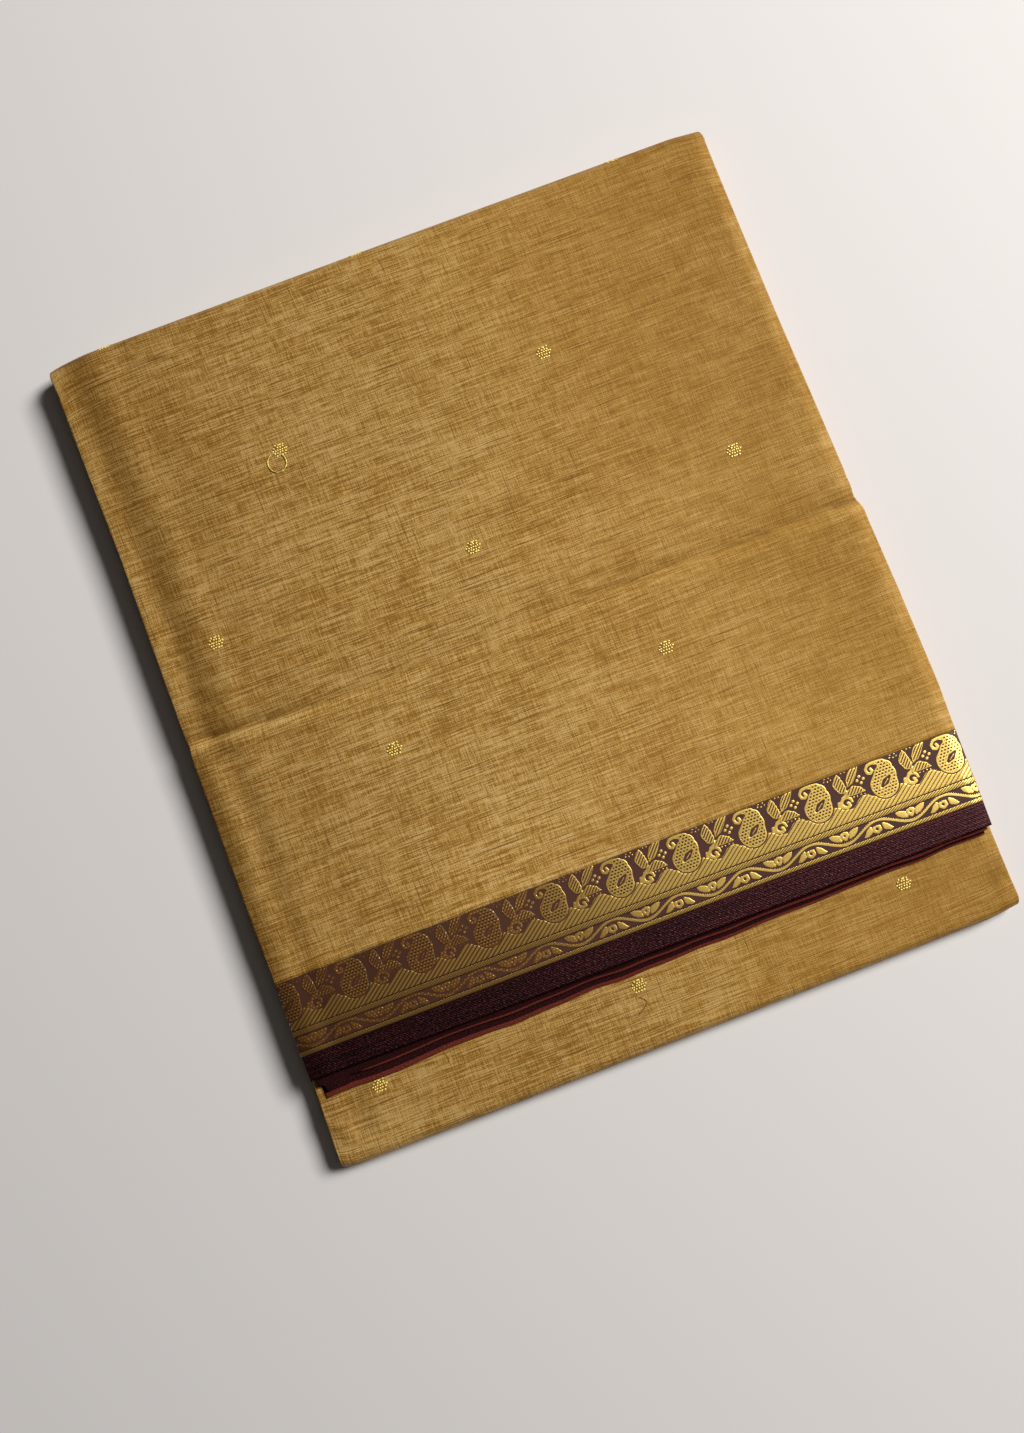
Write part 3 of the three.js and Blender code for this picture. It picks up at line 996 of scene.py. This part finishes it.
def makeInnerPlies(finishes):
    strips = innerStrips()
    bm = bmesh.new()
    for i, strip in enumerate(strips):
        cells = {"x_segments": len(strip["us"]) - 1, "y_segments": len(strip["vs"]) - 1}
        made = bmesh.ops.create_grid(bm, size=1, **cells)
        bmesh.ops.translate(bm, vec=(0, 0, i), verts=made["verts"])
    piece = newPiece("innerPlies", bm)
    co = coordinates(piece)
    u, v, laid = np.zeros(len(co)), np.zeros(len(co)), np.zeros((len(co), 3))
    area = 0
    for i, strip in enumerate(strips):
        us, vs = strip["us"], strip["vs"]
        mine = np.abs(co[:, 2] - i) < 0.5
        u[mine] = np.interp((co[mine, 0] + 1) / 2 * (len(us) - 1), np.arange(len(us)), us)
        v[mine] = np.interp((co[mine, 1] + 1) / 2 * (len(vs) - 1), np.arange(len(vs)), vs)
        uneven = 0.0003 * ripples(v[mine], 0 * v[mine], 0.09, 1, 90 + i)
        inset = np.maximum(innerSettings["drawIn"][strip["ply"]] + uneven, 0)
        laid[mine] = layCloth(u[mine], v[mine], 0 * v[mine], False, strip["ply"], inset)
        area += (us[-1] - us[0]) * (vs[-1] - vs[0])
    mapWeave(piece, np.stack([u, v], 1))
    setAttribute(piece, "shade", innerSettings["shade"] + 0 * u)
    for name in ("mango", "leaf", "field", "plain"):
        setAttribute(piece, name, 1 + 0 * u)
    setCoordinates(piece, laid)
    corner = np.empty(len(piece.data.loops), dtype=np.int32)
    piece.data.loops.foreach_get("vertex_index", corner)
    faceV = v[corner].reshape(-1, 4).mean(1)
    kind = np.digitize(-faceV, (-bandFigure["top"], -bandFigure["bottom"]))
    piece.data.polygons.foreach_set("material_index", kind.astype(np.int32))
    for finish in finishes:
        piece.data.materials.append(finish)
    thicken(piece, bundle["thickness"])
    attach(piece, "root")
    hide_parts("inner_plies")
    width = bundle["clothWidth"] - innerSettings["from"]
    area / width


buttaTable = {
    "even": [-0.0815, 0.0590],
    "odd": [-0.1445, -0.0097, 0.1280],
    "first": 0.1355,
    "pitch": 0.0797,
    "overFold": 3,  # the row that the top fold carries on a little
    "pastFold": 0.005,
    "lowest": 9,
    "lowestRow": [(-0.1450, -0.0017), (-0.0117, -0.0009), (0.1255, 0.0)],  # along, and off its place across
    "shadedBed": (3.7, 3.0, 0.06),  # in millimetres from here on
    "thick": (0.45, 0.54),
    "rise": 0.20,
    "lift": 0.12,
    "scatter": 0.16,
    "rows": [  # height of each row of floats, then where they sit and how long they are
        (2.7, [(-1.7, 0.9), (0.0, 1.5), (0.9, 0.8), (2.3, 0.9)]),
        (1.5, [(-2.6, 0.7), (-0.7, 1.0), (0.6, 0.9), (2.0, 1.0)]),
        (0.2, [(-3.5, 1.0), (-2.3, 0.8), (-1.1, 0.8), (0.1, 0.9), (1.3, 0.8), (2.4, 0.8), (3.5, 1.0)]),
        (-1.1, [(-2.8, 0.9), (-1.5, 0.8), (-0.2, 0.9), (1.1, 0.8), (2.6, 1.0)]),
        (-2.5, [(-2.3, 1.1), (-0.9, 0.9), (0.4, 1.3), (1.8, 1.1)]),
    ],
}


def buttaFloats(bm, u0, v0, draw, shadedBed):
    under = bmesh.ops.create_uvsphere(bm, u_segments=16, v_segments=6, radius=1)
    bmesh.ops.scale(bm, vec=[side * mm for side in buttaTable["shadedBed"]], verts=under["verts"])
    bmesh.ops.translate(bm, vec=(u0, v0, 0), verts=under["verts"])
    for point in under["verts"]:
        point[shadedBed] = 1.0
    for rise, floats in buttaTable["rows"]:
        for along, length in floats:
            shift = draw.uniform(-buttaTable["scatter"], buttaTable["scatter"], 2)
            made = bmesh.ops.create_uvsphere(bm, u_segments=10, v_segments=6, radius=1)
            size = (length * 0.56 * mm, draw.uniform(*buttaTable["thick"]) * mm, buttaTable["rise"] * mm)
            turn = Matrix.Rotation(draw.uniform(-0.5, 0.5), 3, "Z")
            bmesh.ops.scale(bm, vec=size, verts=made["verts"])
            bmesh.ops.rotate(bm, matrix=turn, verts=made["verts"])
            place = (u0 + (along + shift[0]) * mm, v0 + (rise + shift[1]) * mm, buttaTable["lift"] * mm)
            bmesh.ops.translate(bm, vec=place, verts=made["verts"])


def buttaPlaces(k):
    v0 = buttaTable["first"] + k * buttaTable["pitch"]
    if k == buttaTable["lowest"]:
        return [(u0, v0 + off) for u0, off in buttaTable["lowestRow"]]
    v0 += buttaTable["pastFold"] if k == buttaTable["overFold"] else 0
    return [(u0, v0) for u0 in buttaTable["even" if k % 2 == 0 else "odd"]]


def makeButtas(name, rows, finish):
    draw = np.random.default_rng(5)
    bm = bmesh.new()
    shadedBed = bm.verts.layers.float.new("shadedBed")  # the ground that shows between the floats, darkened with painted shade
    for k in rows:
        for u0, v0 in buttaPlaces(k):
            buttaFloats(bm, u0, v0, draw, shadedBed)
    piece = newPiece(name, bm)
    co = coordinates(piece)
    mapWeave(piece, co[:, :2])
    setCoordinates(piece, layCloth(co[:, 0], co[:, 1], co[:, 2]))
    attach(piece, "root")
    piece.data.materials.append(finish)


# Short threads lying on the cloth: path in x and y, height of the cloth and radius, in millimetres.
looseTable = [
    {"name": "loopThread", "slot": "zari", "high": 16.0, "radius": 0.20, "ring": (-86.1, 122.9, 4.6, 4.9)},
    {
        "name": "curlThread",
        "slot": "cloth",
        "high": 11.0,
        "radius": 0.11,
        "path": [
            (-11.4, -184.6), (-10.1, -185.2), (-8.7, -186.9), (-8.6, -188.2),
            (-10.2, -189.7), (-12.9, -191.3), (-14.3, -192.3),
        ],
    },
    {
        "name": "bandThread",
        "slot": "cloth",
        "high": 11.0,
        "radius": 0.09,
        "path": [(-108.6, -175.6), (-108.0, -177.2), (-107.5, -179.4), (-108.1, -181.7)],
    },
]


def makeLooseThread(row, finish):
    if "ring" in row:
        x0, y0, wide, tall = row["ring"]
        turns = [math.radians(a) for a in range(75, 432, 17)]
        path = [(x0 + wide * math.cos(t), y0 + tall * math.sin(t)) for t in turns]
    else:
        path = row["path"]
    curve = bpy.data.curves.new(row["name"], "CURVE")
    curve.dimensions = "3D"
    curve.bevel_depth = row["radius"] * mm
    curve.bevel_resolution = 2
    curve.resolution_u = 6
    curve.use_fill_caps = True
    line = curve.splines.new("BEZIER")
    line.bezier_points.add(len(path) - 1)
    for i, (point, (x, y)) in enumerate(zip(line.bezier_points, path)):
        lift = row["radius"] + 0.05 + 0.35 * abs(math.sin(i * 1.7))
        point.co = (x * mm, y * mm, (row["high"] + lift) * mm)
        point.handle_left_type = point.handle_right_type = "AUTO"
    lay = bpy.data.objects.new("lay", curve)
    bpy.context.scene.collection.objects.link(lay)
    mesh = bpy.data.meshes.new_from_object(lay.evaluated_get(bpy.context.evaluated_depsgraph_get()))
    bpy.data.objects.remove(lay)
    thread = bpy.data.objects.new(row["name"], mesh)
    bpy.context.scene.collection.objects.link(thread)
    co = coordinates(thread)
    mapWeave(thread, co[:, :2])
    setAttribute(thread, "shade", 0 * co[:, 0] + 0.45)
    thread.data.materials.clear()
    thread.data.materials.append(finish)
    mesh.shade_smooth()
    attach(thread, "root")


def makeStage():
    bm = bmesh.new()
    bmesh.ops.create_grid(bm, x_segments=1, y_segments=1, size=4)
    floor = newPiece("floor", bm)
    pale = Finish("paleFloor", 0.9, specular=0.2)
    pale.shader.inputs["Base Color"].default_value = (*tone(226, 222, 220), 1)
    floor.data.materials.append(pale.material)


studio = {
    "lens": 31.4,
    "cameraPlace": (-0.0297, -0.0813, 0.6231),
    "cameraTurn": (4.2695, 0.7456, -20.4855),
    "windowPlace": (1.95, 0.54, 1.92),
    "windowSize": (1.05, 1.05),
    "windowPower": 103,
    "windowTint": (1.0, 0.985, 0.965),
    "panelPlace": (0.50, -0.15, 1.8),
    "panelSize": (0.76, 1.3),
    "panelPower": 0.95,
    "panelTint": (1.0, 0.98, 0.94),
    "roomTint": (1.0, 0.96, 0.90, 1),
    "roomLight": 0.023,
}


def makeCamera():
    data = bpy.data.cameras.new("camera")
    data.sensor_width = 36
    data.lens = studio["lens"]
    camera = bpy.data.objects.new("camera", data)
    camera.location = studio["cameraPlace"]
    camera.rotation_euler = [math.radians(angle) for angle in studio["cameraTurn"]]
    data.clip_start, data.clip_end = 0.01, 20
    bpy.context.scene.collection.objects.link(camera)
    bpy.context.scene.camera = camera


def areaLight(name, aim):
    data = bpy.data.lights.new(name, "AREA")
    data.shape = "RECTANGLE"
    data.size, data.size_y = studio[name + "Size"]
    data.energy = studio[name + "Power"]
    data.color = studio[name + "Tint"]
    light = bpy.data.objects.new(name, data)
    bpy.context.scene.collection.objects.link(light)
    light.location = studio[name + "Place"]
    light.rotation_euler = (Vector(aim) - light.location).to_track_quat("-Z", "Y").to_euler()


def makeRoom():
    world = bpy.data.worlds.new("room")
    world.use_nodes = True
    background = world.node_tree.nodes["Background"]
    background.inputs["Color"].default_value = studio["roomTint"]
    background.inputs["Strength"].default_value = studio["roomLight"]
    bpy.context.scene.world = world
    bpy.context.scene.view_settings.view_transform = "Standard"


makeCamera()
makeStage()
makeRoom()
areaLight("window", (0, 0, 0))
areaLight("panel", (*studio["panelPlace"][:2], 0))
print("stage, lights and camera made")

cloth = clothFinish()
band = bandFinish()
stripe = stripeFinish()
thread = threadFinish()
selvage = selvageFinish()
print("finishes made")

makeInnerPlies([cloth, band, stripe])
print("hidden plies made")
makeTopLeaf(cloth)
makeBand(band)
makeStripe(stripe)
print("top leaf made, with its border and stripe")
makeLowerLeaf(cloth)
for row in fanTable:
    makeUnderSelvage(row, selvage)
makeBackLeaf(cloth)
print("lower leaf, selvages and back made")
makeButtas("topButtas", range(0, 4), thread)
makeButtas("lowerButtas", [buttaTable["lowest"]], thread)
makeButtas("backButtas", range(4, 9), thread)
for row in looseTable:
    makeLooseThread(row, thread if row["slot"] == "zari" else cloth)
print("buttas and loose threads made")
